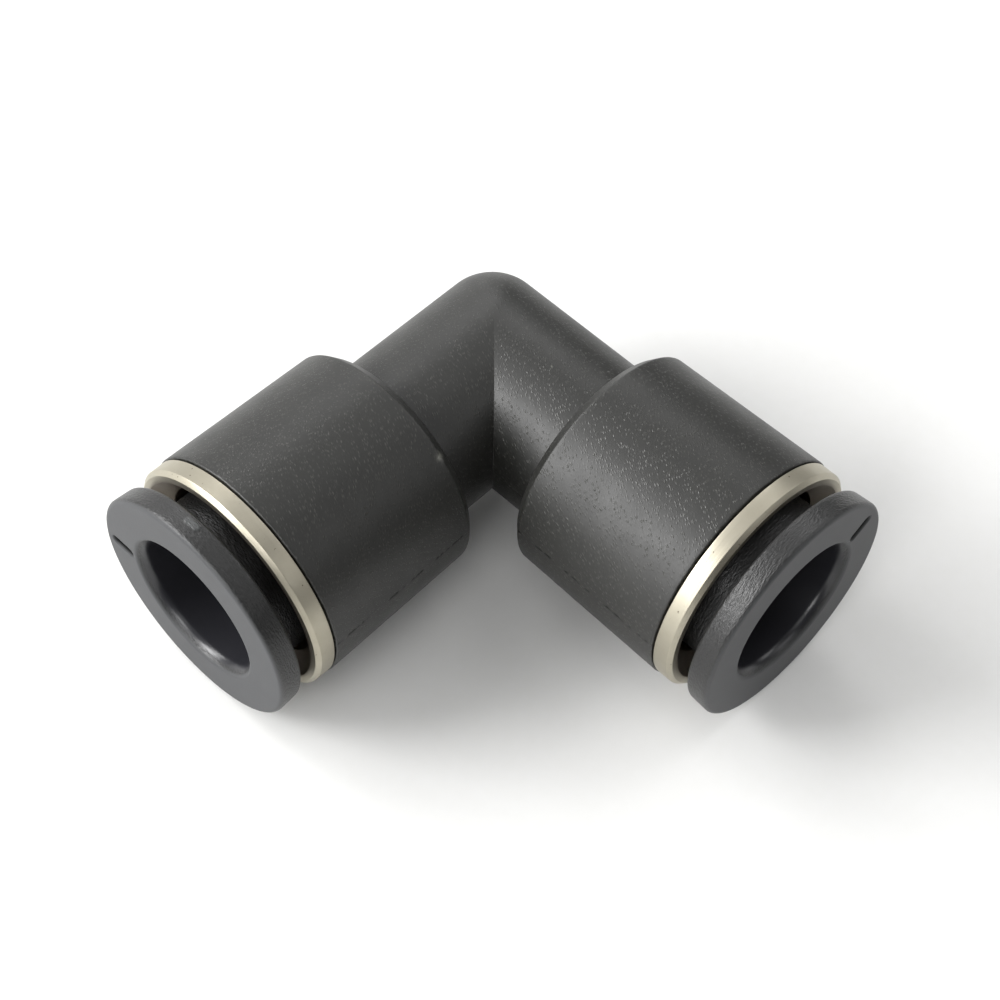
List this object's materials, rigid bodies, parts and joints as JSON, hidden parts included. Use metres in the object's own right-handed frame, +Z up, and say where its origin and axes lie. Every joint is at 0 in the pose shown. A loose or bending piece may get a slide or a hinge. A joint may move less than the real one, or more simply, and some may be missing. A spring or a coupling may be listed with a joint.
{
  "type": "push to connect fitting",
  "caption": "Union elbow that joins two 12 mm tubes at a right angle; each port grips and seals a pushed-in tube and lets it go when its release ring is pressed.",
  "frame": {"origin": "on the surface the fitting lies on, under the middle of its outline", "axes": "+X out of one tube port, -Y out of the other, +Z up and square to both ports"},
  "size_m": [0.0438, 0.0438, 0.021],
  "materials": {
    "moulded_body": "satin moulded, glass filled",
    "nickel_plated_brass": "bright nickel plate, slightly worn",
    "moulded_acetal": "satin moulded",
    "stainless_spring_steel": "pressed strip",
    "natural_resin": "moulded",
    "nitrile_rubber": "moulded"
  },
  "bodies": {
    "housing": {"elbow_body": "moulded_body", "guide_ring_x": "nickel_plated_brass", "guide_ring_y": "nickel_plated_brass", "spacer_ring_x": "natural_resin", "spacer_ring_y": "natural_resin", "seal_ring_x": "nitrile_rubber", "seal_ring_y": "nitrile_rubber"},
    "grip_x": {"claw_ring_x": "stainless_spring_steel"},
    "release_x": {"release_ring_x": "moulded_acetal"},
    "grip_y": {"claw_ring_y": "stainless_spring_steel"},
    "release_y": {"release_ring_y": "moulded_acetal"}
  },
  "joints": [
    {"name": "swivel_x", "type": "hinge", "parent": "housing", "child": "grip_x", "pos_m": [0, 0.01137, 0.0105], "axis": [1, 0, 0], "continuous": true},
    {"name": "press_x", "type": "slide", "parent": "grip_x", "child": "release_x", "axis": [-1, 0, 0], "range_m": [0, 0.0015], "stiffness_N_per_m": 5000, "deforming": ["claw_ring_x"]},
    {"name": "swivel_y", "type": "hinge", "parent": "housing", "child": "grip_y", "pos_m": [-0.01137, 0, 0.0105], "axis": [0, -1, 0], "continuous": true},
    {"name": "press_y", "type": "slide", "parent": "grip_y", "child": "release_y", "axis": [0, 1, 0], "range_m": [0, 0.0015], "stiffness_N_per_m": 5000, "deforming": ["claw_ring_y"]}
  ]
}
